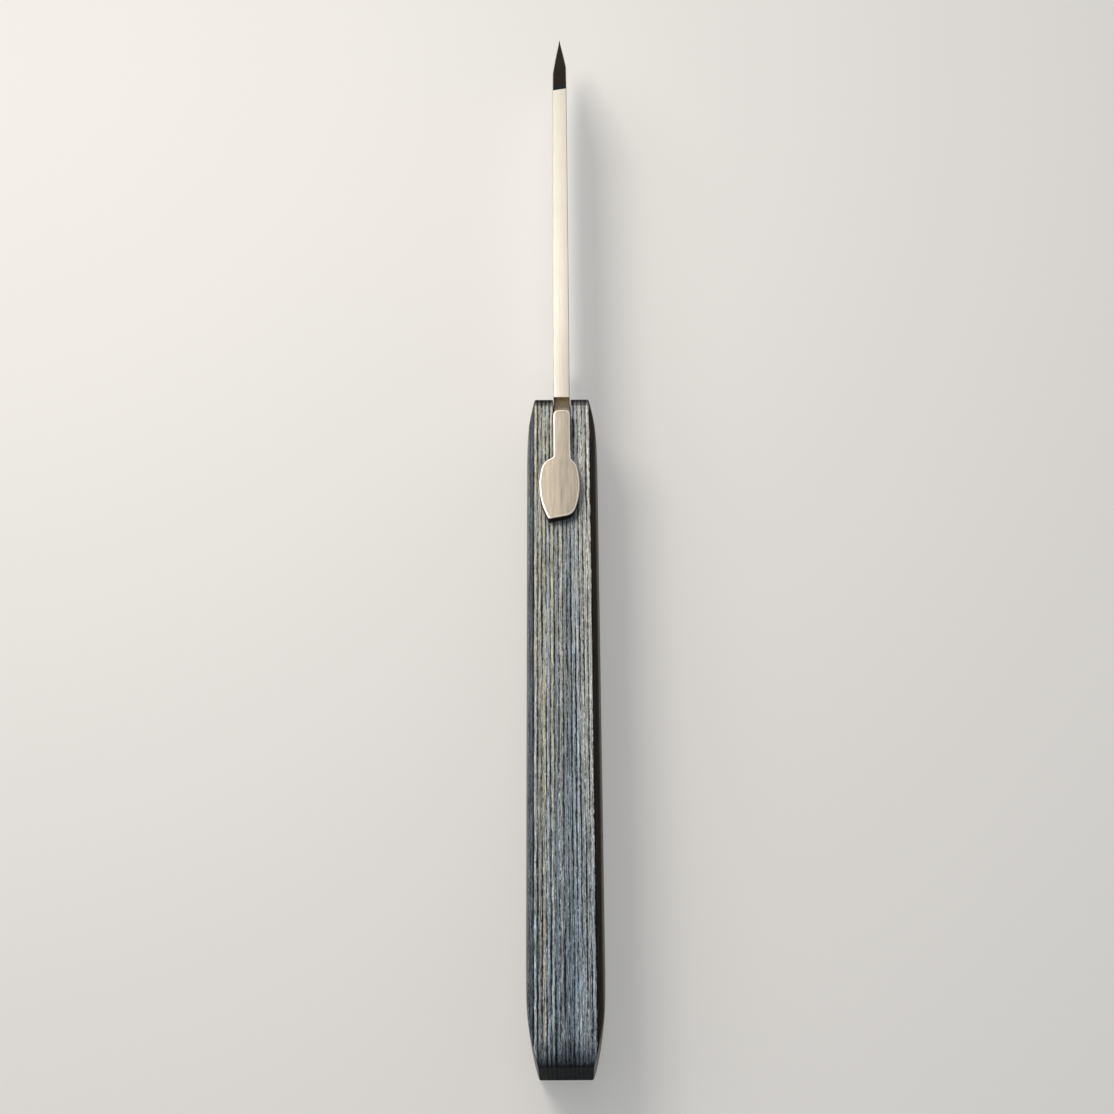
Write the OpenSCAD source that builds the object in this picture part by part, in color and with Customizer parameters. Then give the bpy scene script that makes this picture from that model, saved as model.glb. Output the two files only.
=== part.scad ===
// Folding pocket knife of the higonokami kind, open, standing on its belly with the spine up.
// X runs along the knife towards the tip, +Y is its left side and Z is up from the belly.
// Every piece is laid out from the pivot, at X = 0, and then moved to the knife's own origin,
// which lies under the middle of its whole length.

/* [Handle] */
// Length of the spine from the nose to the butt
handle_len = 111; // [106:1:125]
// Height from belly to spine
handle_h = 19.5; // [19:0.25:21]
// Width across both scales at the middle
handle_w = 12.3; // [11.5:0.1:14]
// Width of the flats that run along the spine and the belly
flat_w = 9.4; // [8:0.1:10]
// Slope of the long chamfers beside those flats, from level
chamfer_slope = 55; // [40:1:65]
// How far each flank swells between its long edges
flank_swell = 0.6; // [0.3:0.05:0.9]
// Slope of the nose under the spine, from level
nose_slope = 63; // [60:1:70]
// Radius of the chin between the nose and the belly
chin_r = 8; // [7:0.25:9]
// Width across the nose at its front face
nose_w = 9.25; // [8.5:0.05:9.7]
// Length of the side taper at the nose, square to the front face
nose_taper = 9; // [8:0.25:10]
// Width across the butt at its rear face
butt_w = 8.4; // [8:0.1:9.6]
// Length of the side taper at the butt
butt_taper = 11; // [9:0.25:13]
// Angle of the soft crease where the tapers leave the flanks
taper_crease = 3; // [2:0.25:4]
// Radius of the butt's upper corner
butt_top_r = 4; // [2:0.25:6]
// Radius of the butt's lower corner
butt_low_r = 3; // [2:0.25:6]

/* [Spacer] */
// Width of the slot between the scales, and thickness of the spacer that fills it
slot_w = 3.1; // [3.08:0.02:3.4]
// Distance from the pivot back to the spacer's front end
spacer_back = 12; // [11.5:0.25:14]
// Length of the landing where the folded ricasso rests
landing_len = 2.5; // [1.5:0.25:4]
// Height of the spacer's bar along the spine, above the folded blade
bar_h = 4.5; // [4.25:0.05:5]
// Room between the folded cutting edge and that bar
edge_room = 0.55; // [0.4:0.05:1]
// Room behind the folded tip
tip_room = 3; // [2:0.5:6]
// Radius of the well's inner corner
well_r = 3; // [1:0.5:5]

/* [Blade] */
// Thickness of the stock at the tang
stock_t = 2.8; // [2.6:0.02:2.82]
// Thickness that the flats run out to at the tip
tip_t = 2.54; // [2.2:0.02:2.6]
// Distance from the pivot to the tip
blade_reach = 87; // [82:1:90]
// Distance from the pivot to the break in the spine
spine_reach = 67; // [62:1:69]
// Drop of the spine from that break to the tip
tip_drop = 10; // [9:0.25:11]
// Radius of the cutting edge under the point
belly_r = 40; // [34:1:50]
// Depth of the flat above the bevel on the left side
flat_left = 3.3; // [2.5:0.1:6]
// Depth of the flat above the bevel on the right side
flat_right = 4.8; // [2.5:0.1:6]
// Thickness left at the cutting edge
edge_t = 0.05; // [0.03:0.01:0.1]
// Radius that the grinding wheel leaves at the heel
plunge_r = 6; // [4:0.5:9]
// How far the wheel bites past the middle of the blade at the heel
plunge_bite = 0.3; // [0.15:0.05:0.6]
// How far the open blade's spine lies below the handle's
spine_sink = 0.2; // [0.1:0.05:0.5]
// How far the folded blade's spine lies inside the belly
fold_sink = 0.7; // [0.3:0.05:1]

/* [Lever] */
// Width of the neck
neck_w = 2.86; // [2.7:0.02:2.9]
// Distance from the pivot back to the neck's front
neck_back = 2.5; // [2.2:0.1:3]
// Length of the neck in front of the paddle
neck_len = 9.2; // [8.8:0.1:11]
// Thickness of the neck and the paddle
lever_t = 1.75; // [1.4:0.05:2.2]
// Length of the paddle
paddle_len = 11; // [9.5:0.25:13]
// Width of the paddle
paddle_w = 6.75; // [6.25:0.25:8]
// Distance from the paddle's shoulders back to its widest place
paddle_peak = 5; // [4:0.25:6]
// Radius of the paddle's two sides
paddle_side_r = 13.7; // [12:0.1:20]
// Radius of the paddle's front, which grows out of the neck
paddle_front_r = 3.4; // [3.2:0.05:4]
// How far the hand-drawn paddle stands to the left of the neck
paddle_shift = 0.45; // [0:0.05:0.6]
// Radius of the neck's front corners
neck_corner_r = 0.8; // [0.5:0.05:1.1]
// Skew of the paddle's hand-cut rear end
paddle_skew = 11; // [0:1:15]
// Distance from the pivot back to the rear of the lever's root
root_back = 6; // [5.4:0.1:7]
// Width of the notch between the blade's spine and the neck
notch_w = 3.6; // [3:0.1:4]
// Depth of that notch
notch_depth = 2.5; // [2:0.1:3.5]

/* [Pivot] */
// Radius of the pivot pin's shank
pivot_r = 1.5; // [1.2:0.05:1.8]
// Radius of the peened heads
head_r = 2.2; // [2:0.05:2.5]
// Height of the peened heads
head_h = 0.9; // [0.6:0.05:1.1]
// Depth of the heads' seats where the flank is lowest
seat_sink = 0.15; // [0.1:0.05:0.4]
// How far the washers' rims lie inside the tang's
washer_inset = 0.4; // [0.2:0.05:1]
// Thickness of one washer
washer_t = 0.13; // [0.08:0.01:0.14]

/* [Handle pins] */
// Radius of the hidden pins that key the scales to the spacer
pin_r = 1; // [0.75:0.05:1.2]
// Depth that a hidden pin reaches into each scale
pin_bite = 2.4; // [1.5:0.1:2.8]
// Room for glue beyond a hidden pin's end
pin_room = 0.3; // [0.1:0.05:0.5]
// Distance from the spacer's front end back to the front pin
front_inset = 8; // [5:0.5:15]
// Distance from the butt forward to the rear pin
rear_inset = 6; // [4:0.5:8]

/* [Fits] */
// Running clearance round the pivot pin
pivot_fit = 0.03; // [0.02:0.01:0.08]
// Glue line round what doesn't turn
glue_fit = 0.01; // [0.01:0.005:0.03]
// Clearance under the open lever and at the folded blade's landing
stop_fit = 0.05; // [0.03:0.01:0.1]

/* [Hidden] */
$fn = 96;

// how far a cutting body runs past what it cuts, along the piece and across its skin
past = 5;
skin = 0.5;

half_w = handle_w / 2;
butt_x = -handle_len;
spacer_x = -spacer_back;
well_x = -blade_reach - tip_room;

// the blade folds half a turn about the pivot: its spine then lies just inside the belly
// and its ricasso on the spacer's landing, which gives the pivot's height and the blade's depth
spine_z = handle_h - spine_sink;
pivot_z = (spine_z + fold_sink) / 2;
roof_z = handle_h - bar_h;
landing_z = roof_z - edge_room;
edge_z = 2 * pivot_z + stop_fit - landing_z;
blade_depth = spine_z - edge_z;
tip_z = spine_z - tip_drop;
tang_r = pivot_z - edge_z;
washer_r = tang_r - washer_inset;
plunge_x = spacer_back + landing_len + stop_fit;

lever_z = handle_h + stop_fit;
shoulder_x = -neck_back - neck_len;
paddle_x = shoulder_x - paddle_len;

bar_z = handle_h - bar_h / 2;
front_pin_x = spacer_x - front_inset;
rear_pin_x = butt_x + rear_inset;
middle_pin_x = (front_pin_x + rear_pin_x) / 2;

// moves what is laid out from the pivot to the knife's own origin
module knife() {
    translate([(handle_len - blade_reach) / 2, 0, 0]) children();
}

// stands an X-Z outline up as a plate that fills Y from y0 to y1
module side_plate(y0, y1) {
    translate([0, y1, 0]) rotate([90, 0, 0]) linear_extrude(y1 - y0) children();
}

// round bar along Y at a place of the X-Z plane, centred on the knife's middle plane
module cross_bar(x, z, r, length) {
    translate([x, 0, z]) rotate([90, 0, 0]) cylinder(r = r, h = length, center = true);
}

// handle outline seen from the side: sloped nose, round chin, straight belly, round butt
module handle_side() {
    nose = [sin(nose_slope), cos(nose_slope)];
    chin = [((handle_h - chin_r) * nose[1] - chin_r) / nose[0], chin_r];
    polygon([
        [chin[0], 0], chin + chin_r * nose, [0, handle_h],
        [butt_x + butt_top_r, handle_h], [butt_x, handle_h - butt_top_r],
        [butt_x, butt_low_r], [butt_x + butt_low_r, 0]
    ]);
    translate(chin) circle(chin_r);
    translate([butt_x + butt_top_r, handle_h - butt_top_r]) circle(butt_top_r);
    translate([butt_x + butt_low_r, butt_low_r]) circle(butt_low_r);
}

// handle cross-section: flats on spine and belly, long chamfers, swelling flanks
module handle_section() {
    swell_r = (handle_h * handle_h / 4 + flank_swell * flank_swell) / (2 * flank_swell);
    flat = flat_w / 2;
    side = half_w + skin;
    fall = (side - flat) * tan(chamfer_slope);
    intersection() {
        polygon([
            [-flat, 0], [flat, 0], [side, fall], [side, handle_h - fall],
            [flat, handle_h], [-flat, handle_h], [-side, handle_h - fall], [-side, fall]
        ]);
        translate([half_w - swell_r, handle_h / 2]) circle(swell_r, $fn = 720);
        translate([swell_r - half_w, handle_h / 2]) circle(swell_r, $fn = 720);
    }
}

// centre and radius of the arc that leaves the flank at the crease, `run` before an end face,
// and meets that face at half of face_w
function taper_arc(run, face_w) =
    let (fall = half_w - face_w / 2,
         chord = norm([run, fall]),
         bend = atan(fall / run) - taper_crease,
         radius = chord / 2 / sin(bend),
         turn = taper_crease)
    [[-run - radius * sin(turn), half_w - radius * cos(turn)], radius];

// half the handle's width at a distance `back` from an end face, along such an arc
function taper_half(run, face_w, back) =
    let (arc = taper_arc(run, face_w), dx = -back - arc[0][0])
    arc[0][1] + sqrt(arc[1] * arc[1] - dx * dx);

// what that taper takes off the left side of an end whose face is at X = 0
module taper_cut(run, face_w) {
    arc = taper_arc(run, face_w);
    difference() {
        translate([arc[0][0], 0]) square([past - arc[0][0], half_w + past]);
        translate(arc[0]) circle(arc[1], $fn = 720);
    }
}

module left_tapers() {
    reach = handle_h / sin(nose_slope) + past;
    translate([0, 0, handle_h]) rotate([0, nose_slope - 90, 0])
        translate([0, 0, -reach]) linear_extrude(reach + past) taper_cut(nose_taper, nose_w);
    translate([butt_x, 0, -past]) mirror([1, 0, 0])
        linear_extrude(handle_h + 2 * past) taper_cut(butt_taper, butt_w);
}

// the handle's outer form from y0 to the left flank
module left_form(y0) {
    difference() {
        intersection() {
            side_plate(y0, half_w + skin) handle_side();
            translate([butt_x - past, 0, 0]) rotate([90, 0, 90])
                linear_extrude(handle_len + chin_r + 2 * past) handle_section();
        }
        left_tapers();
    }
}

// the seat is square to the pivot and just below the lowest flank under the head
seat_y = taper_half(nose_taper, nose_w, (handle_h - pivot_z) * cos(nose_slope) - head_r)
         - seat_sink;

module pin_bores(length) {
    cross_bar(front_pin_x, bar_z, pin_r + glue_fit, length);
    cross_bar(middle_pin_x, bar_z, pin_r + glue_fit, length);
    cross_bar(rear_pin_x, handle_h / 2, pin_r + glue_fit, length);
}

module scale_blank() {
    difference() {
        left_form(slot_w / 2);
        cross_bar(0, pivot_z, pivot_r + glue_fit, 2 * half_w + past);
        translate([0, seat_y, pivot_z]) rotate([-90, 0, 0])
            cylinder(r = head_r + glue_fit, h = half_w);
        pin_bores(slot_w + 2 * pin_bite + 2 * pin_room);
    }
}

module scale_left() color("slategray") knife() scale_blank();

module scale_right() color("slategray") knife() mirror([0, 1, 0]) scale_blank();

// pocket that takes the folded blade, open at the belly and at the front
module well() {
    polygon([
        [well_x, -past], [well_x, roof_z - well_r], [well_x + well_r, roof_z],
        [spacer_x - landing_len, roof_z], [spacer_x - landing_len, landing_z],
        [spacer_x + past, landing_z], [spacer_x + past, -past]
    ]);
    translate([well_x + well_r, roof_z - well_r]) circle(well_r);
}

module spine_spacer() color("dimgray") knife() {
    difference() {
        side_plate(-slot_w / 2, slot_w / 2) difference() {
            handle_side();
            well();
            translate([spacer_x, -past]) square([spacer_back + chin_r + past, handle_h + 2 * past]);
        }
        pin_bores(slot_w + past);
    }
}

// where the straight edge turns into the belly arc, so that the arc ends at the tip
belly_x = blade_reach - sqrt(belly_r * belly_r - pow(belly_r - (tip_z - edge_z), 2));

// blade, tang and the lever's root seen from the side
module blade_side() {
    notch_r = notch_w / 2;
    notch_x = notch_r - neck_back;
    difference() {
        union() {
            polygon([
                [0, edge_z], [belly_x, edge_z], [blade_reach, tip_z], [spine_reach, spine_z],
                [-neck_back, spine_z], [-neck_back, lever_z + lever_t],
                [-root_back, lever_z + lever_t], [-root_back, spine_z - notch_depth],
                [-tang_r, pivot_z]
            ]);
            translate([0, pivot_z]) circle(tang_r);
            intersection() {
                translate([belly_x, edge_z + belly_r]) circle(belly_r, $fn = 720);
                translate([belly_x, edge_z]) square([blade_reach - belly_x, tip_z - edge_z]);
            }
        }
        translate([notch_x, spine_z - notch_depth + notch_r]) circle(notch_r);
        translate([-neck_back, spine_z - notch_depth + notch_r]) square([notch_w, notch_depth]);
    }
}

// blade seen from above: parallel tang, then flats that taper to the tip
module blade_plan() {
    polygon([
        [-root_back - past, -stock_t / 2], [plunge_x, -stock_t / 2], [blade_reach, -tip_t / 2],
        [blade_reach, tip_t / 2], [plunge_x, stock_t / 2], [-root_back - past, stock_t / 2]
    ]);
}

// slope of a bevel, as the half thickness that it gains per height above the edge
function bevel_rate(flat_depth) =
    let (share = (spine_reach - plunge_x) / (blade_reach - plunge_x),
         flat_t = stock_t + (tip_t - stock_t) * share)
    (flat_t - edge_t) / 2 / (blade_depth - flat_depth);

// section of what the grinder takes off the left side: distance below the belly arc's centre,
// and depth into the blade from the face of the cutting edge
module bevel_section(rate) {
    polygon([
        [belly_r + past, rate * past], [belly_r + past, -stock_t],
        [belly_r - stock_t / rate, -stock_t]
    ]);
}

// that section runs straight from the heel and then turns round the belly arc's centre,
// and the wheel's radius keeps some metal at the heel
module bevel_cut(flat_depth) {
    rate = bevel_rate(flat_depth);
    difference() {
        translate([belly_x, edge_t / 2, edge_z + belly_r]) {
            rotate([180, 90, 0]) linear_extrude(belly_x - plunge_x) bevel_section(rate);
            intersection() {
                rotate([90, 0, 0]) rotate_extrude($fn = 720) bevel_section(rate);
                translate([0, -past, -belly_r - past]) cube([belly_r, 2 * past, belly_r + past]);
            }
        }
        translate([plunge_x, 0, edge_z - past]) linear_extrude(handle_h + past) difference() {
            translate([-past, -plunge_bite]) square([past + plunge_r, stock_t + plunge_bite]);
            translate([plunge_r, plunge_r - plunge_bite]) circle(plunge_r);
        }
    }
}

// lever seen from above: round-cornered neck, oval paddle with a rear end cut off askew
module lever_plan() {
    half = neck_w / 2;
    corner = neck_corner_r;
    front_x = shoulder_x - sqrt(paddle_front_r * paddle_front_r - half * half);
    peak_x = shoulder_x - paddle_peak;
    side_y = paddle_side_r - paddle_w / 2;
    translate([front_x, -half]) square([-neck_back - corner - front_x, neck_w]);
    translate([shoulder_x, corner - half]) square([neck_len, neck_w - 2 * corner]);
    for (side = [-1, 1])
        translate([-neck_back - corner, side * (half - corner)]) circle(corner);
    translate([0, paddle_shift]) intersection() {
        translate([peak_x, side_y]) circle(paddle_side_r, $fn = 360);
        translate([peak_x, -side_y]) circle(paddle_side_r, $fn = 360);
        union() {
            translate([front_x, 0]) circle(paddle_front_r);
            translate([paddle_x - past, -paddle_w]) square([front_x - paddle_x + past, 2 * paddle_w]);
        }
        translate([paddle_x, 0]) rotate(paddle_skew) translate([0, -paddle_w])
            square([paddle_len + past, 2 * paddle_w]);
    }
}

module blade() color("silver") knife() {
    difference() {
        union() {
            intersection() {
                side_plate(-neck_w, neck_w) blade_side();
                linear_extrude(handle_h + past) blade_plan();
            }
            translate([0, 0, lever_z]) linear_extrude(lever_t) lever_plan();
        }
        cross_bar(0, pivot_z, pivot_r + pivot_fit, stock_t + past);
        bevel_cut(flat_left);
        mirror([0, 1, 0]) bevel_cut(flat_right);
    }
}

module pivot_pin() color("lightsteelblue") knife() {
    dome_r = (head_r * head_r + head_h * head_h) / (2 * head_h);
    cross_bar(0, pivot_z, pivot_r, 2 * seat_y + head_h / 2);
    for (side = [-1, 1]) intersection() {
        translate([0, side * (seat_y + head_h - dome_r), pivot_z]) sphere(dome_r);
        translate([0, side * (seat_y + head_h / 2), pivot_z]) rotate([90, 0, 0])
            cylinder(r = head_r, h = head_h, center = true);
    }
}

// thin friction washer that lies against one scale
module washer(side) {
    translate([0, side * (slot_w - washer_t) / 2, pivot_z]) rotate([90, 0, 0]) difference() {
        cylinder(r = washer_r, h = washer_t, center = true);
        cylinder(r = pivot_r + pivot_fit, h = slot_w, center = true);
    }
}

module washer_left() color("goldenrod") knife() washer(1);

module washer_right() color("goldenrod") knife() washer(-1);

// hidden pin through the spacer and into both scales, which never shows on the flanks
module handle_pin(x, z) color("lightgray") knife() cross_bar(x, z, pin_r, slot_w + 2 * pin_bite);

module handle_pin_front() handle_pin(front_pin_x, bar_z);

module handle_pin_middle() handle_pin(middle_pin_x, bar_z);

module handle_pin_rear() handle_pin(rear_pin_x, handle_h / 2);

scale_left();
scale_right();
spine_spacer();
blade();
pivot_pin();
washer_left();
washer_right();
handle_pin_front();
handle_pin_middle();
handle_pin_rear();
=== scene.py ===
import math
from functools import partial
import bmesh
import bpy
import numpy as np
from mathutils import Matrix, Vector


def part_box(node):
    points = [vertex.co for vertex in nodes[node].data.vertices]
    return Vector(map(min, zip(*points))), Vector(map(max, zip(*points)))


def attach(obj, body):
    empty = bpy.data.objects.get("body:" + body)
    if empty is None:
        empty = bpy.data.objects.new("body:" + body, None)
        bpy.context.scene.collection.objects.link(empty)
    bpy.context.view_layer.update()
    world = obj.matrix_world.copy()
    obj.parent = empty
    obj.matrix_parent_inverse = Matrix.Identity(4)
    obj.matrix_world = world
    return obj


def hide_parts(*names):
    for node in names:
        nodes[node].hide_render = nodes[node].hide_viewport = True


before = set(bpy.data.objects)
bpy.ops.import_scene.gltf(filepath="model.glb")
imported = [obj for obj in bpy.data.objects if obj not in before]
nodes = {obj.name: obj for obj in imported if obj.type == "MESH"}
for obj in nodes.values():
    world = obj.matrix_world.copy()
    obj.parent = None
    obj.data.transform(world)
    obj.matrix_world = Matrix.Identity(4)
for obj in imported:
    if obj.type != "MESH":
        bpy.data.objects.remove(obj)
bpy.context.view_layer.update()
mm = 0.001
pivotAhead = 12.0   # the pivot's place on the frame's X axis, in mm
print("knife: frame loaded with", len(nodes), "nodes")


# small helpers

def linear(hexColour):
    # sRGB hex to linear RGBA
    c = np.array([int(hexColour[i:i + 2], 16) for i in (1, 3, 5)]) / 255
    c = np.where(c <= 0.04045, c / 12.92, ((c + 0.055) / 1.055) ** 2.4)
    return (*c.tolist(), 1.0)


def addNode(tree, kind, feeds=(), out=0, **settings):
    # feeds: values in the order of the inputs, or {input name or number: value}, where a value
    # is an output socket, a plain value or a hex colour; gives output number out, or the node for None
    n = tree.nodes.new("ShaderNode" + kind)
    for key, value in settings.items():
        setattr(n, key, value)
    for key, value in (feeds.items() if isinstance(feeds, dict) else enumerate(feeds)):
        if isinstance(value, bpy.types.NodeSocket):
            tree.links.new(value, n.inputs[key])
        else:
            n.inputs[key].default_value = linear(value) if isinstance(value, str) else value
    return n if out is None else n.outputs[out]


def newMaterial(name):
    # gives the empty material and addNode for its tree
    m = bpy.data.materials.new(name)
    m.use_nodes = True
    m.node_tree.nodes.clear()
    return m, partial(addNode, m.node_tree)


smooth = dict(interpolation_type="SMOOTHSTEP")   # settings of an eased Map Range
tones = dict(out=2, data_type="RGBA")            # settings of a colour Mix, fed at 0, 6 and 7


def smoothMin(a, b, k):
    # the smaller of two surfaces, blended over k where they cross
    h = np.clip(0.5 + 0.5 * (b - a) / k, 0, 1)
    return b * (1 - h) + a * h - k * h * (1 - h)


def smoothMax(a, b, k):
    # the larger of two surfaces, blended in the same way
    return -smoothMin(-a, -b, k)


def edgeDrop(d, r):
    # how far a rounded edge of radius r falls back at a distance d from the rim
    u = np.clip(r - d, 0, r)
    return r - np.sqrt(np.maximum(r * r - u * u, 0))


def shellMesh(name, shells, materialOf=None, mats=(), weld=0.002, sliver=0.0005):
    # shells: arrays (stations, points of a closed loop, xyz) in mm from the pivot; quads join
    # neighbouring loops and a flat face closes each end. Points nearer than weld mm are one,
    # and edges shorter than sliver mm go.
    verts, faces = [], []
    base = 0
    for rings in shells:
        n, m, _ = rings.shape
        p = rings.reshape(-1, 3)
        i, j = np.meshgrid(np.arange(n - 1), np.arange(m), indexing="ij")
        k = (j + 1) % m
        quads = np.stack([i * m + j, i * m + k, (i + 1) * m + k, (i + 1) * m + j], -1).reshape(-1, 4)
        a, b, c, d = (p[quads[:, t]] for t in range(4))
        volume = np.einsum("ij,ij->", a, np.cross(b, c)) + np.einsum("ij,ij->", a, np.cross(c, d))
        caps = np.stack([np.arange(m)[::-1], (n - 1) * m + np.arange(m)])
        for cap in caps:
            q = p[cap]
            volume += np.einsum("ij,ij->", np.repeat(q[:1], m - 2, 0), np.cross(q[1:-1], q[2:]))
        turn = -1 if volume < 0 else 1   # a shell that came out inside out is turned back
        faces += (quads[:, ::turn] + base).tolist() + (caps[:, ::turn] + base).tolist()
        verts.append(p)
        base += len(p)
    co = (np.concatenate(verts) + np.array([pivotAhead, 0, 0])) * mm
    mesh = bpy.data.meshes.new(name)
    mesh.from_pydata(co.tolist(), [], faces)
    bm = bmesh.new()
    bm.from_mesh(mesh)
    bmesh.ops.remove_doubles(bm, verts=bm.verts, dist=weld * mm)
    bmesh.ops.dissolve_degenerate(bm, edges=bm.edges, dist=sliver * mm)
    bm.to_mesh(mesh)
    bm.free()
    for mat in mats:
        mesh.materials.append(mat)
    if materialOf is not None:
        centre = np.zeros(len(mesh.polygons) * 3)
        mesh.polygons.foreach_get("center", centre)
        normal = np.zeros(len(mesh.polygons) * 3)
        mesh.polygons.foreach_get("normal", normal)
        c = centre.reshape(-1, 3) / mm - np.array([pivotAhead, 0, 0])
        zone = materialOf(c, normal.reshape(-1, 3)).astype(np.int32)
        mesh.polygons.foreach_set("material_index", zone)
    obj = bpy.data.objects.new(name, mesh)
    bpy.context.scene.collection.objects.link(obj)
    return obj


def softShade(obj, angle):
    obj.data.shade_smooth()
    obj.data.set_sharp_from_angle(angle=math.radians(angle))


def drill(obj, cutters, sides=96):
    # cutters: (x, y0, y1, z, radius) in mm from the pivot, each a round bore along Y
    t = np.linspace(0, 2 * np.pi, sides, endpoint=False)
    for x, y0, y1, z, r in cutters:
        ring = np.stack([x + r * np.cos(t), 0 * t, z + r * np.sin(t)], -1)
        tool = shellMesh("cutter", [np.stack([ring + [0, y0, 0], ring + [0, y1, 0]])])
        mod = obj.modifiers.new("bore", "BOOLEAN")
        mod.operation, mod.solver, mod.object = "DIFFERENCE", "EXACT", tool
        graph = bpy.context.evaluated_depsgraph_get()
        done = bpy.data.meshes.new_from_object(obj.evaluated_get(graph))
        obj.modifiers.clear()
        obj.data = done
        bpy.data.objects.remove(tool)


def addShell(obj, extra):
    # joins the second object's mesh to the first and drops the second
    bm = bmesh.new()
    bm.from_mesh(obj.data)
    bm.from_mesh(extra.data)
    bm.to_mesh(obj.data)
    bm.free()
    bpy.data.objects.remove(extra)


# materials

laminate = dict(
    plyPitch=0.68, shift=-0.1,  # mm, thickness of one cloth ply, and where the count starts, in plies
    wander=0.15,                # how far a ply wanders, in plies
    slate="#9fabb3", grey="#b3b4b0", lilac="#b4aeb6", bone="#d6d8d3", sage="#a9b2a8", sand="#b6b4a2",
    cream="#cfc6ae", indigo="#a3b2c6", umber="#4b3d2c", umberFlat="#86735c", seam="#08090a",
    creamPlies=(4, 4), indigoPlies=(7, 7), umberPlies=(-10, -8),        # first and last, from the middle
    rear=(-0.1, -0.01), rearBlue="#8499ae", rearShare=0.6, rearContrast=1.4,   # m along X, butt to nose
    relief=0.02,                                                        # mm
    rubbed=(0.62, 0.99), noseTurn=1.3, buttTurn=0.45,                   # how far round a corner it was rubbed and kept lit, past which comes painted shade
    buttDim=(-0.0985, -0.0915), buttDimShade=0.72, buttDimEdge=0.012,   # m, painted shade darkening the spine towards the butt
    endGrainShade=(0.2, 0.6), buttGrainShade=0.6,                                 # by how far it looks ahead or behind: end grain, rougher and drawn darker, partly painted shade
    chamfers=(0.7, 0.9), flanks=(0.87, 0.97),                           # by how far it looks sideways
    chamferWeave=0.22, flankWeave=0.12, flankSeam=0.45, chamferSeam=0.95,
    seamOpen=(1.12, 1.66), seamRun=0.55,
    turnedAwayShade=0.3, endShade=0.28,                                     # painted shade, as a share of the light on a rubbed face
    rubbedRough=0.54, buffedRough=0.34, endRough=0.75,
    patterns=dict(   # mm along the plies, mm through them, detail, roughness
        slow=(14, 3, 1.0, 0.5), quick=(1.6, 0.8, 3.0, 0.5), drift=(3, 0.5, 2.0, 0.5),
        strayGrey=(9, 0.5, 2.0, 0.5), straySlate=(12, 0.4, 2.0, 0.5), cream=(7, 0.6, 2.0, 0.5),
        yarn=(0.5, 0.12, 2.0, 0.7), streak=(4, 0.16, 3.0, 0.7), split=(2.4, 0.3, 2.0, 0.5),
        pits=(1.1, 0.12, 1.0, 0.5), seam=(0.9, 0.3, 3.0, 0.7), seamRun=(16, 0.6, 1.0, 0.5)))


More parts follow.
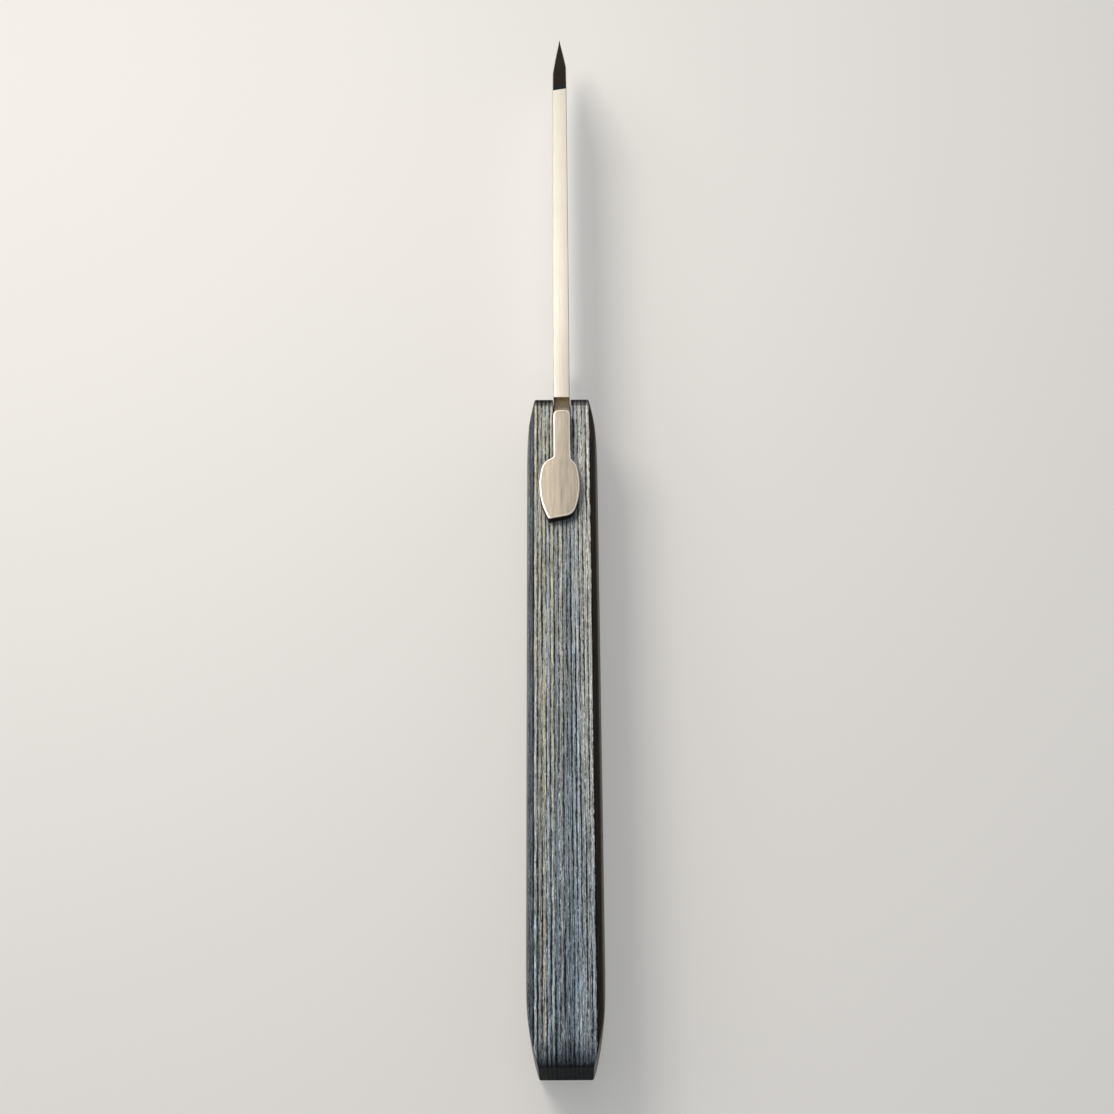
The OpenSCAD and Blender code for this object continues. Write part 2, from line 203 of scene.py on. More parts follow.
def clothLaminate(s):
    # Cloth and resin laminate. Where it was rubbed down level, along spine and belly, the
    # cut cloth is pale and dry, and every ply is a fuzzy wandering line between dark resin
    # seams. Buffed faces are wetted by the resin, so they are glossier, and drawn darker as painted
    # shade; the ends, which show cut yarn, are darker still, partly as painted shade.
    m, add = newMaterial("cloth_resin_laminate")
    where = add("TexCoord", out=None)
    place = where.outputs["Object"]
    x, y, z = add("SeparateXYZ", (place,), out=None).outputs
    faceX, faceY, faceZ = add("SeparateXYZ", (where.outputs["Normal"],), out=None).outputs
    sideways = add("Math", (faceY,), operation="ABSOLUTE")
    flat = add("MapRange", (sideways, *s["chamfers"], 0.0, 1.0), **smooth)
    flank = add("MapRange", (sideways, *s["flanks"], 0.0, 1.0), **smooth)

    noise = {}
    for key, (lengthMm, plyMm, detail, rough) in s["patterns"].items():
        scale = (1 / (lengthMm * mm), 1 / (plyMm * mm), 1 / (lengthMm * mm))
        scaled = add("VectorMath", (place, scale), operation="MULTIPLY")
        noise[key] = add("TexNoise", {"Vector": scaled, "Scale": 1.0, "Detail": detail, "Roughness": rough})

    def fromCore(number):
        # 0 at the middle of a ply, 1 at its seams
        part = add("Math", (number,), operation="FRACT")
        part = add("Math", (part, 2.0, -1.0), operation="MULTIPLY_ADD")
        return add("Math", (part,), operation="ABSOLUTE")

    # the ply count through the thickness, with a slow and a quick wander
    slow = add("Math", (noise["slow"], 2.4 * s["wander"], -1.2 * s["wander"]), operation="MULTIPLY_ADD")
    quick = add("Math", (noise["quick"], 2 * s["wander"], -s["wander"]), operation="MULTIPLY_ADD")
    ply = add("Math", (y, 1 / (s["plyPitch"] * mm), s["shift"]), operation="MULTIPLY_ADD")
    ply = add("Math", (ply, add("Math", (slow, quick), operation="ADD")), operation="ADD")
    index = add("Math", (ply,), operation="FLOOR")

    # one tone per ply, picked at random
    pick = add("TexWhiteNoise", {"W": index}, noise_dimensions="1D")
    ramp = add("ValToRGB", (pick,), out=None)
    ramp.color_ramp.interpolation = "CONSTANT"
    stops = ramp.color_ramp.elements
    stops[0].position, stops[0].color = 0.0, linear(s["slate"])
    stops[1].position, stops[1].color = 0.3, linear(s["grey"])
    for at, key in ((0.42, "lilac"), (0.5, "bone"), (0.66, "sage"), (0.76, "slate"), (0.88, "sand")):
        stops.new(at).color = linear(s[key])
    body = ramp.outputs[0]

    # dye that strayed from one ply into the next in drifts a few mm long, and more blue at the rear
    for value, low, high, atLow, atHigh, tone in (
            (noise["strayGrey"], 0.45, 0.62, 0.0, 0.7, s["grey"]),
            (noise["straySlate"], 0.52, 0.66, 0.0, 0.6, s["slate"]),
            (x, *s["rear"], s["rearShare"], 0.0, s["rearBlue"])):
        share = add("MapRange", (value, low, high, atLow, atHigh), **smooth)
        body = add("Mix", {0: share, 6: body, 7: tone}, **tones)

    # plies with a colour of their own: the cream one comes and goes, and the umber cloth is
    # drawn lighter on the flank than at the chamfer
    creamShare = add("MapRange", (noise["cream"], 0.35, 0.65, 0.25, 0.8), **smooth)
    umber = add("Mix", {0: flank, 6: s["umber"], 7: s["umberFlat"]}, **tones)
    for (first, last), tone, share in ((s["creamPlies"], s["cream"], creamShare),
                                       (s["indigoPlies"], s["indigo"], 1.0),
                                       (s["umberPlies"], umber, 1.0)):
        inside = add("Math", (index, (first + last) / 2, (last - first) / 2 + 0.2), operation="COMPARE")
        inside = add("Math", (inside, share), operation="MULTIPLY")
        body = add("Mix", {0: inside, 6: body, 7: tone}, **tones)

    # two yarn layers to a ply, each with its own brightness; real yarn is about 0.3 mm, and the
    # yarn pattern and the weave draw it at 0.5 mm to show
    layers = add("Math", (noise["drift"], 0.8, 100.0), operation="MULTIPLY_ADD")
    layers = add("Math", (ply, 2.0, layers), operation="MULTIPLY_ADD")
    layer = add("TexWhiteNoise", {"W": add("Math", (layers,), operation="FLOOR")}, noise_dimensions="1D")
    split = add("Math", (noise["split"], 0.8, fromCore(layers)), operation="MULTIPLY_ADD")
    light = add("MapRange", (layer, 0.0, 1.0, 0.72, 1.22), **smooth)
    for value, low, high, atLow, atHigh in (
            (split, 1.1, 1.45, 1.0, 0.5),                # dark between the two layers
            (noise["yarn"], 0.3, 0.7, 0.68, 1.32),       # yarn ends, as short dashes
            (noise["streak"], 0.32, 0.66, 0.5, 1.55),    # long streaks
            (noise["pits"], 0.62, 0.72, 1.0, 0.4)):      # pits where resin shows between yarns
        factor = add("MapRange", (value, low, high, atLow, atHigh), **smooth)
        light = add("Math", (light, factor), operation="MULTIPLY")
    crisp = add("MapRange", (x, *s["rear"], s["rearContrast"], 1.0), **smooth)   # crisper at the rear
    light = add("Math", (light, crisp), operation="POWER")

    # rubbed level up and down, where the nose's corner stops at once and the butt's goes far round; this
    # share is kept lit, and the rest gets painted shade
    ahead = add("Math", (faceX, 0.0), operation="MAXIMUM")
    behind = add("Math", (faceX, 0.0), operation="MINIMUM")
    upDown = add("Math", (faceZ,), operation="ABSOLUTE")
    upDown = add("Math", (behind, -s["buttTurn"], upDown), operation="MULTIPLY_ADD")
    upDown = add("Math", (ahead, -s["noseTurn"], upDown), operation="MULTIPLY_ADD")
    flushLit = add("MapRange", (upDown, *s["rubbed"], 0.0, 1.0), **smooth)
    # painted shade: the spine darkens towards the butt along a wandering line
    fade = add("Math", (noise["drift"], 0.5), operation="SUBTRACT")
    fade = add("Math", (fade, s["buttDimEdge"], x), operation="MULTIPLY_ADD")
    buttShade = add("MapRange", (fade, *s["buttDim"], s["buttDimShade"], 1.0), **smooth)
    flushLit = add("Math", (flushLit, buttShade), operation="MULTIPLY")

    # end grain ahead and behind, rougher and drawn darker, partly as painted shade, and a plain weave on the
    # faces that look sideways
    ends = add("Math", (faceX, -s["buttGrainShade"]), operation="MULTIPLY")
    ends = add("Math", (faceX, ends), operation="MAXIMUM")
    ends = add("MapRange", (ends, *s["endGrainShade"], 0.0, 1.0), **smooth)
    turns = math.tau / (2 * s["patterns"]["yarn"][0] * mm)
    waves = [add("Math", (axis, turns), operation="MULTIPLY") for axis in (x, z)]
    waves = [add("Math", (wave,), operation="SINE") for wave in waves]
    depth = add("Math", (flat, s["chamferWeave"]), operation="MULTIPLY")
    depth = add("Math", (flank, s["flankWeave"], depth), operation="MULTIPLY_ADD")
    weave = add("Math", (add("Math", waves, operation="MULTIPLY"), depth, 1.0), operation="MULTIPLY_ADD")

    # painted shade: faces turned away from the top, and the ends, are drawn darker where not rubbed level
    shade = add("MapRange", (ends, 0.0, 1.0, 1.0, s["endShade"]), **smooth)
    for factor in (s["turnedAwayShade"], weave):
        shade = add("Math", (shade, factor), operation="MULTIPLY")
    shadedShare = add("Math", (1.0, flushLit), operation="SUBTRACT")
    shade = add("Math", (shade, shadedShare, flushLit), operation="MULTIPLY_ADD")
    light = add("Math", (light, shade), operation="MULTIPLY")
    lit = add("VectorMath", {0: body, "Scale": light}, operation="SCALE")

    # resin seams, which open and close along the ply and are thin where a flank runs along one
    seam = add("Math", (noise["seam"], 1.3, fromCore(ply)), operation="MULTIPLY_ADD")
    run = add("Math", (noise["seamRun"], 2 * s["seamRun"], -s["seamRun"]), operation="MULTIPLY_ADD")
    seam = add("Math", (seam, run), operation="ADD")
    seam = add("MapRange", (seam, *s["seamOpen"], 0.0, 1.0), **smooth)
    thin = add("MapRange", (flat, 0.0, 1.0, s["chamferSeam"], s["flankSeam"]), **smooth)
    seam = add("Math", (seam, thin), operation="MULTIPLY")
    colour = add("Mix", {0: seam, 6: lit, 7: s["seam"]}, **tones)

    height = add("Math", (seam, -0.8), operation="MULTIPLY")
    height = add("Math", (noise["yarn"], 0.6, height), operation="MULTIPLY_ADD")
    rough = add("MapRange", (flushLit, 0.0, 1.0, s["buffedRough"], s["rubbedRough"]), **smooth)
    endRough = add("Math", (ends, s["endRough"]), operation="MULTIPLY")
    rough = add("Math", (rough, endRough), operation="MAXIMUM")
    bump = add("Bump", {"Height": height, "Strength": 0.6, "Distance": s["relief"] * mm})
    shader = add("BsdfPrincipled", {"Base Color": colour, "Roughness": rough, "Normal": bump,
                                    "IOR": 1.5, "Specular IOR Level": 0.04})
    add("OutputMaterial", {"Surface": shader}, out=None)
    return m


def brushedSteel(name, colour, low, high, lineMm, lengthMm, along="X", bump=0.0015, contrast=0.1,
                 graze=1.0, secondTint=None):
    # Carbon steel finished on a belt: fine parallel lines that spread each highlight
    # across them. Real lines are about 0.02 mm apart, and are drawn at lineMm to show.
    # An oxide film takes the shine off at grazing angles: graze below 1.
    # secondTint: a second tint, full and gone at those mm along X, askew by skew per mm of Y.
    m, add = newMaterial(name)
    place = add("TexCoord", out=None).outputs["Object"]
    scale = tuple(1 / ((lengthMm if axis == along else lineMm) * mm) for axis in "XYZ")
    scaled = add("VectorMath", (place, scale), operation="MULTIPLY")
    lines = add("TexNoise", {"Vector": scaled, "Scale": 1.0, "Detail": 3.0, "Roughness": 0.65})
    lines = add("MapRange", (lines, 0.3, 0.7))
    cloud = add("TexNoise", {"Vector": place, "Scale": 1 / (5 * mm), "Detail": 2.0})
    rough = add("MapRange", {"Value": lines, "To Min": low, "To Max": high})
    amount = add("Math", (lines, 2 * contrast, 0.95 - contrast), operation="MULTIPLY_ADD")
    amount = add("Math", (cloud, 0.1, amount), operation="MULTIPLY_ADD")
    tone = linear(colour)[:3]
    if secondTint:
        waviness = 1.2   # mm, how far the tint's end wanders
        at = add("VectorMath", (place, (1 / mm, secondTint["skew"] / mm, 0)), out=1, operation="DOT_PRODUCT")
        at = add("Math", (cloud, waviness, at), operation="MULTIPLY_ADD")
        full, gone = (secondTint[key] + waviness / 2 for key in ("full", "gone"))
        share = add("MapRange", (at, full, gone), **smooth)
        tone = add("Mix", {0: share, 6: secondTint["colour"], 7: colour}, **tones)
    tint = add("VectorMath", {0: tone, "Scale": amount}, operation="SCALE")
    relief = add("Bump", {"Height": lines, "Strength": 0.5, "Distance": bump * mm})
    shader = add("BsdfPrincipled", {"Base Color": tint, "Metallic": 1.0, "Roughness": rough,
                                    "Normal": relief,
                                    "Specular Tint": (graze, 0.97 * graze, 0.93 * graze, 1.0)})
    add("OutputMaterial", {"Surface": shader}, out=None)
    return m


laminateMat = clothLaminate(laminate)
# painted shade: darker towards the heel, standing in for the reflection fading along the spine
satinSteel = brushedSteel("carbon_steel_belt_satin", "#bdb8af", 0.34, 0.48, 0.22, 9.0,
                          secondTint=dict(colour="#ada8a0", full=14.0, gone=38.0, skew=0.0))
# painted shade: the lever's top is the blade's steel drawn darker
leverDimSteel = brushedSteel("carbon_steel_satin_painted_dim", "#948c80", 0.4, 0.55, 0.45, 6.0, contrast=0.3)
# painted highlight: the lever's rim drawn bright
rimHighlightSteel = brushedSteel("carbon_steel_rim_painted_highlight", "#f0e8da", 0.36, 0.46, 0.2, 1.5, contrast=0.08)
# forge skin on the lever's walls and underside, drawn dark also as painted shadow
skinShadowSteel = brushedSteel("carbon_steel_forge_skin_painted_shadow", "#3b332c", 0.45, 0.6, 0.3, 0.8, contrast=0.15)
filedSteel = brushedSteel("carbon_steel_file_cut", "#beb29d", 0.4, 0.55, 0.25, 3.0, along="Z", contrast=0.35)
groundSteel = brushedSteel("carbon_steel_fine_ground", "#ddd8cf", 0.22, 0.34, 0.14, 6.0, contrast=0.07)
pinSteel = brushedSteel("mild_steel_peened", "#d3cdc4", 0.25, 0.4, 0.2, 0.6, contrast=0.08)
washerBronze = brushedSteel("phosphor_bronze_rolled", "#7d6240", 0.3, 0.42, 0.15, 3.0, contrast=0.08)
print("knife: materials ready")

# handle: two scales of the laminate

handle = dict(   # mm and degrees
    length=111.0, height=19.5, halfWidth=6.15, flat=4.7, chamfer=55.0, swell=0.6,
    noseSlope=63.0, chin=8.0, noseHalf=4.625, noseRun=9.0, buttHalf=4.2, buttRun=11.0,
    crease=3.0, buttTop=4.0, buttLow=3.0, slotHalf=1.55, noseEdge=2.6, noseAhead=0.5,
    rim=0.22, blendEdge=0.3,
    step=0.45, noseFrom=-9.5, noseStep=0.16, noseRound=1.2,   # stations, closer from noseFrom on
    turnSteps=18, flankRows=74, rimRows=8, slotRows=5,
    buttGap=0.02, noseGap=0.004, thinnest=0.002)              # keep the end loops open


def taperSurface(h, run, endHalf, back):
    # arc that leaves the flank at the crease angle and reaches endHalf at the end face
    fall = h["halfWidth"] - endHalf
    crease = math.radians(h["crease"])
    bend = math.atan(fall / run) - crease
    r = math.hypot(run, fall) / 2 / math.sin(bend)
    cx = -run - r * math.sin(crease)
    cy = h["halfWidth"] - r * math.cos(crease)
    dx = np.minimum(-back - cx, r)
    inside = np.sqrt(np.maximum(r * r - dx * dx, 0)) + cy
    return np.where(back < run, inside, h["halfWidth"] + (back - run) * math.tan(crease))


def chinCentre(h):
    # the nose's slope in radians, and x of the centre of the chin's arc, which touches slope and belly
    s = math.radians(h["noseSlope"])
    return s, ((h["height"] - h["chin"]) * math.cos(s) - h["chin"]) / math.sin(s)


def behindNose(h, x, z):
    # distance behind the plane of the sloped nose
    s = math.radians(h["noseSlope"])
    return -((x - h["noseAhead"]) * math.sin(s) + (z - h["height"]) * math.cos(s))


def handleOutline(h, x):
    # lowest and highest z of the side view at x: straight runs, the chin's arc, the sloped
    # nose and the round corners
    s, cx = chinCentre(h)
    butt = x + h["length"]
    x = x - h["noseAhead"]
    arc = np.sqrt(np.maximum(h["chin"] ** 2 - (x - cx) ** 2, 0))
    low = np.where(x > cx, h["chin"] - arc, 0.0)
    touch = cx + h["chin"] * math.sin(s)
    slope = np.where(x > 0, h["height"] - x * math.tan(s), h["height"])
    high = np.where(x > touch, h["chin"] + arc, slope)
    r = h["noseEdge"]
    ex = -r * math.tan(s / 2)
    corner = h["height"] - r + np.sqrt(np.maximum(r * r - (x - ex) ** 2, 0))
    high = np.where((x > ex) & (x < ex + r * math.sin(s)), corner, high)
    r = h["buttTop"]
    high = np.where(butt < r, h["height"] - r + np.sqrt(np.maximum(r * r - (r - butt) ** 2, 0)), high)
    r = h["buttLow"]
    low = np.where(butt < r, r - np.sqrt(np.maximum(r * r - (r - butt) ** 2, 0)), low)
    return low, high


def rimDistance(h, x, z):
    # distance from the side view's outline, straight runs and round corners alike
    s, cx = chinCentre(h)
    butt = x + h["length"]
    d = np.minimum(np.minimum(h["height"] - z, z), np.minimum(butt, behindNose(h, x, z)))
    x = x - h["noseAhead"]
    angle = np.degrees(np.arctan2(z - h["chin"], x - cx))
    onChin = (angle > -90) & (angle < 90 - h["noseSlope"])
    d = np.where(onChin, h["chin"] - np.hypot(x - cx, z - h["chin"]), d)
    r = h["noseEdge"]
    ex, ez = x + r * math.tan(s / 2), z - h["height"] + r
    turn = np.degrees(np.arctan2(ez, ex))
    d = np.where((turn > 90 - h["noseSlope"]) & (turn < 90), r - np.hypot(ex, ez), d)
    r = h["buttTop"]
    d = np.where((butt < r) & (z > h["height"] - r), r - np.hypot(butt - r, z - h["height"] + r), d)
    r = h["buttLow"]
    d = np.where((butt < r) & (z < r), r - np.hypot(butt - r, z - r), d)
    return np.maximum(d, 0)


def flankHalf(h, x, z):
    # half width of the handle: the swelling flank's large arc, blended with the long chamfers
    # and the nose and butt tapers, less the rounding at the rim
    bow = (h["height"] ** 2 / 4 + h["swell"] ** 2) / (2 * h["swell"])
    y = h["halfWidth"] - bow + np.sqrt(bow ** 2 - (z - h["height"] / 2) ** 2)
    slope = math.tan(math.radians(h["chamfer"]))
    y = smoothMin(y, h["flat"] + np.minimum(z, h["height"] - z) / slope, h["blendEdge"])
    y = smoothMin(y, taperSurface(h, h["noseRun"], h["noseHalf"], behindNose(h, x, z)), h["blendEdge"])
    y = smoothMin(y, taperSurface(h, h["buttRun"], h["buttHalf"], x + h["length"]), h["blendEdge"])
    return y - edgeDrop(rimDistance(h, x, z), h["rim"])


def handleScale(h, side):
    # loops across the scale at each station along X: spine, flank, belly, slot face
    front = chinCentre(h)[1] + h["noseAhead"] + h["chin"]
    turn = np.linspace(0, np.pi / 2, h["turnSteps"])
    x = np.concatenate([
        -h["length"] + h["buttGap"] + h["buttTop"] * (1 - np.cos(turn)),
        np.arange(-h["length"] + h["buttTop"] + h["step"], h["noseFrom"], h["step"]),
        np.arange(h["noseFrom"], front - h["noseRound"], h["noseStep"]),
        front - h["noseGap"] - h["noseRound"] * (1 - np.sin(turn))])
    low, high = handleOutline(h, x)
    mid = (low + high) / 2
    low, high = np.minimum(low, mid - h["thinnest"]), np.maximum(high, mid + h["thinnest"])
    x, low, high = x[:, None], low[:, None], high[:, None]
    t = np.linspace(0, 1, h["flankRows"])
    t = 0.5 - 0.5 * np.cos(np.pi * t) * (0.55 + 0.45 * np.abs(np.cos(np.pi * t)))   # closer near the rims
    z = high + (low - high) * t
    y = flankHalf(h, np.repeat(x, len(t), 1), z)
    rim = np.linspace(0, 1, h["rimRows"] + 1)[:-1]
    inner = np.linspace(0, 1, h["slotRows"] + 2)[1:-1]

    def band(y, z):
        return np.stack(np.broadcast_arrays(x, y, z), -1)

    loops = np.concatenate([
        band(h["slotHalf"] + (y[:, :1] - h["slotHalf"]) * rim, high),
        band(y, z),
        band(h["slotHalf"] + (y[:, -1:] - h["slotHalf"]) * (1 - rim - 1 / h["rimRows"]), low),
        band(h["slotHalf"], low + (high - low) * inner)], 1)
    loops[..., 1] *= side
    return loops


pivot = dict(z=10.0, shank=1.51, headR=2.21, headHigh=0.9, cutFrom=1.0, cutTo=9.0)
scales = []
for name, side in (("scale_left", 1), ("scale_right", -1)):
    piece = shellMesh(name + "_shaped", [handleScale(handle, side)], mats=(laminateMat,))
    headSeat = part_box("pivot_pin")[1].y / mm - pivot["headHigh"]
    drill(piece, [(0, side * pivot["cutFrom"], side * pivot["cutTo"], pivot["z"], pivot["shank"]),
                  (0, side * headSeat, side * pivot["cutTo"], pivot["z"], pivot["headR"])])
    softShade(piece, 28)
    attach(piece, "handle")
    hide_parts(name)
    scales.append(piece)
print("knife: scales", [len(s.data.polygons) for s in scales])

# blade with its lever, one forging

blade = dict(   # mm
    spine=19.3, edge=5.6, tip=9.3, reach=87.0, breakAt=67.0, bellyR=40.0,
    stock=1.4, tipHalf=1.27, edgeHalf=0.025, flatLeft=3.3, flatRight=4.8,
    plungeAt=14.55, plungeR=6.0, plungeBite=0.3, blendWheel=0.1, blendBevel=0.05,
    neckFront=-2.5, notchW=3.6, notchDepth=2.5, rootBack=-6.0, pivotZ=10.0, bore=1.53,
    rim=0.14, breakSkew=0.18, breakReach=5.0,
    blue="#0f2432", blueFull=0.9, blueGone=2.6,         # heat tint ahead of the break, full and gone there
    blunt=0.01, coarse=0.5, fine=0.12,                  # the tip's end, and station spacings
    dropStations=90, bevelRows=14, flatRows=8, rimRows=6)
lever = dict(   # mm and degrees
    low=19.55, high=21.3, neckHalf=1.43, front=-2.5, corner=0.8, shoulder=-11.7,
    frontR=3.4, peak=5.0, sideR=13.7, halfWidth=3.375, rear=-22.7, skew=11.0, shift=0.45,
    rim=0.28, rimDrop=0.17, crown=0.12, fillet=0.7, round=0.16, wornRound=0.85, wornFar=2.8,
    blendFront=0.25, inset=0.08,
    drawnPoints=900, outlinePoints=720, roundReach=24, rimRows=9, topRows=12)


def bellyStart(b):
    # x at which the straight edge turns into the belly's arc
    return b["reach"] - math.sqrt(b["bellyR"] ** 2 - (b["bellyR"] - (b["tip"] - b["edge"])) ** 2)


def bladeHalf(b, x, z, flatDepth):
    # half thickness on one side: flats that taper to the tip, cut by a bevel whose height
    # above the edge is counted from the straight edge or from the belly arc, and that runs
    # out in the wheel's radius at the heel; and how high the bevel climbs
    share = np.clip((x - b["plungeAt"]) / (b["reach"] - b["plungeAt"]), 0, 1)
    flat = b["stock"] + (b["tipHalf"] - b["stock"]) * share
    at = (b["breakAt"] - b["plungeAt"]) / (b["reach"] - b["plungeAt"])
    full = b["stock"] + (b["tipHalf"] - b["stock"]) * at
    rate = (full - b["edgeHalf"]) / (b["spine"] - b["edge"] - flatDepth)
    past = np.maximum(x - bellyStart(b), 0)
    up = b["bellyR"] - np.hypot(past, z - b["edge"] - b["bellyR"])
    bevel = b["edgeHalf"] + rate * np.maximum(up, 0)
    heel = b["plungeAt"] + b["plungeR"]
    dx = np.clip(heel - x, 0, b["plungeR"])
    wheel = b["plungeR"] - b["plungeBite"] - np.sqrt(b["plungeR"] ** 2 - dx ** 2)
    ground = np.where(x < heel, smoothMax(bevel, wheel, b["blendWheel"]), bevel)
    half = np.where(x < b["plungeAt"], flat, smoothMin(flat, ground, b["blendBevel"]))
    return half, (flat - b["edgeHalf"]) / rate


def bladeLines(b):
    # the upper and lower ends of each station, from the tip back to the tang
    tipX = b["reach"] - b["blunt"]
    x1 = tipX - np.linspace(0, 1, b["dropStations"]) ** 1.3 * (tipX - b["breakAt"])   # closer at the tip
    top1 = b["spine"] - (x1 - b["breakAt"]) / (b["reach"] - b["breakAt"]) * (b["spine"] - b["tip"])
    heel = b["plungeAt"] + b["plungeR"] + 1
    x2 = np.arange(b["breakAt"] - b["fine"], heel, -b["coarse"])
    x3 = np.arange(heel, b["plungeAt"] - 0.4, -b["fine"])
    x4 = np.linspace(b["plungeAt"] - 0.6, 1.3, 22)
    x = np.concatenate([x1, x2, x3, x4])
    top = np.concatenate([top1, np.full(len(x2) + len(x3) + len(x4), b["spine"])])
    past = np.maximum(x - bellyStart(b), 0)
    belly = b["edge"] + b["bellyR"] - np.sqrt(b["bellyR"] ** 2 - past ** 2)
    low = np.where(past > 0, belly, b["edge"])
    # the upper end walks down into the notch and up the root's front, while the lower end
    # goes round the tang
    r = b["notchW"] / 2
    nx, nz = b["neckFront"] + r, b["spine"] - b["notchDepth"] + r
    rootTop = nz + 1.1
    a = np.radians(np.linspace(0, -180, 25))
    walk = np.concatenate([
        np.stack([np.full(4, nx + r), b["spine"] - np.array([0, 0.05, 0.15, 0.4])], -1),
        np.stack([nx + r * np.cos(a), nz + r * np.sin(a)], -1),
        [[b["neckFront"], nz + 0.5], [b["neckFront"], rootTop]],
        np.stack([np.linspace(b["neckFront"] - 0.3, b["rootBack"], 8), np.full(8, rootTop)], -1)])
    tang = b["pivotZ"] - b["edge"]
    c = np.radians(np.linspace(-90, -180, 28))
    rise = np.stack([np.linspace(-tang, b["rootBack"], 9),
                     np.linspace(b["pivotZ"], b["spine"] - b["notchDepth"], 9)], -1)[1:]
    around = np.concatenate([
        np.stack([np.linspace(1.1, 0.1, 3), np.full(3, b["edge"])], -1),
        np.stack([tang * np.cos(c), b["pivotZ"] + tang * np.sin(c)], -1),
        rise])
    assert len(walk) == len(around)
    return np.concatenate([np.stack([x, top], -1), walk]), np.concatenate([np.stack([x, low], -1), around])


def bladeBody(b):
    # each station joins an upper point to a lower one, with the half thickness to either side;
    # a loop goes up the left side, over the spine and down the right
    upper, lower = bladeLines(b)
    length = np.linalg.norm(upper - lower, axis=1)
    safe = np.maximum(length, 1e-3)
    rim = np.minimum(b["rim"], length * 0.3)
    stop = 1 - rim / safe
    past = np.maximum(lower[:, 0] - bellyStart(b), 0)
    t1 = np.linspace(0, 1, b["bevelRows"] + 1)[:-1]
    t2 = np.linspace(0, 1, b["flatRows"] + 1)[:-1]
    t3 = 1 - np.cos(np.linspace(np.pi / 2, 0, b["rimRows"] + 1))
    sides = []
    for flatDepth in (b["flatLeft"], b["flatRight"]):
        _, rise = bladeHalf(b, lower[:, 0], lower[:, 1], flatDepth)
        # the bevel's top line is an arc inside the belly's, so a row of the grid is laid on it
        rise = (np.sqrt(b["bellyR"] ** 2 - past ** 2)
                - np.sqrt(np.maximum((b["bellyR"] - rise) ** 2 - past ** 2, 0)))
        cut = np.clip(rise / safe, 0.05, 1 - 1.2 * rim / safe)
        t = np.concatenate([cut[:, None] * t1, cut[:, None] + (stop - cut)[:, None] * t2,
                            stop[:, None] + (1 - stop)[:, None] * (1 - t3)], 1)
        p = lower[:, None] + (upper - lower)[:, None] * t[..., None]
        y, _ = bladeHalf(b, p[..., 0], p[..., 1], flatDepth)
        away = (1 - t) * length[:, None]
        y = y - np.minimum(edgeDrop(away, rim[:, None]), 0.3 * y)
        sides.append(np.stack([p[..., 0], y, p[..., 1]], -1))
    left, right = sides
    right[..., 1] *= -1
    loops = np.concatenate([left, right[:, ::-1]], 1)
    # the drop was stoned slightly askew: stations near the break lean back to the left
    lean = np.clip(1 - np.abs(loops[..., 0] - b["breakAt"]) / b["breakReach"], 0, 1)
    loops[..., 0] -= b["breakSkew"] * loops[..., 1] * lean ** 2 * (3 - 2 * lean)
    return loops


def rubRound(line, width, spacing, reach):
    # a closed line averaged with its neighbours under a bell curve of this width
    k = np.arange(-reach, reach + 1)
    w = np.exp(-0.5 * (k / (width / spacing)) ** 2)
    w /= w.sum()
    padded = np.concatenate([line[-reach:], line, line[:reach]])
    return np.stack([np.convolve(padded[:, i], w, "valid") for i in range(2)], -1)


def leverOutline(v):
    # plan of neck and paddle as one closed line: the neck's half width and the paddle's two
    # side arcs and front arc, joined by a smooth maximum, then a skew cut across the rear
    x = np.linspace(v["front"], v["rear"] - 1.5, v["drawnPoints"])
    frontX = v["shoulder"] - math.sqrt(v["frontR"] ** 2 - v["neckHalf"] ** 2)
    side = (np.sqrt(np.maximum(v["sideR"] ** 2 - (x - v["shoulder"] + v["peak"]) ** 2, 0))
            - v["sideR"] + v["halfWidth"])
    nose = np.sqrt(np.maximum(v["frontR"] ** 2 - (x - frontX) ** 2, 0))
    nose = np.where(x > frontX, nose, v["halfWidth"] + 1)
    ahead = -5.0   # ahead of the paddle its line lies far inside the neck
    paddle = np.where(x < frontX + v["frontR"], smoothMin(side, nose, v["blendFront"]), ahead)
    nearFront = np.clip(v["corner"] - (v["front"] - x), 0, v["corner"])
    neck = v["neckHalf"] - v["corner"] + np.sqrt(np.maximum(v["corner"] ** 2 - nearFront ** 2, 0))
    left = smoothMax(neck, paddle + v["shift"], v["fillet"])
    right = -smoothMax(neck, paddle - v["shift"], v["fillet"])
    s = math.radians(v["skew"])
    a, c = (np.stack([x, y], -1)[(x - v["rear"]) * math.cos(s) + (y - v["shift"]) * math.sin(s) > 0]
            for y in (left, right))
    c = c[::-1]
    cut = np.linspace(a[-1], c[0], 60)[1:-1]
    front = np.linspace(c[-1], a[0], 40)[1:-1]
    line = np.concatenate([a, cut, c, front])
    # evenly spaced again, then its corners are rubbed round
    closed = np.concatenate([line, line[:1]])
    step = np.linalg.norm(np.diff(closed, axis=0), axis=1)
    along = np.concatenate([[0], np.cumsum(step)])
    even = np.linspace(0, along[-1], v["outlinePoints"], endpoint=False)
    line = np.stack([np.interp(even, along, closed[:, k]) for k in range(2)], -1)
    spacing = along[-1] / v["outlinePoints"]
    crisp = rubRound(line, v["round"], spacing, v["roundReach"])
    # the right rear corner is worn rounder than the left one
    worn = rubRound(crisp, v["wornRound"], spacing, int(2.5 * v["wornRound"] / spacing))
    far = np.hypot(line[:, 0] - v["rear"], line[:, 1] + v["halfWidth"] * 0.6)
    share = np.clip(1.4 - far / v["wornFar"], 0, 1)[:, None]
    return (crisp * (1 - share) + worn * share)[::2]


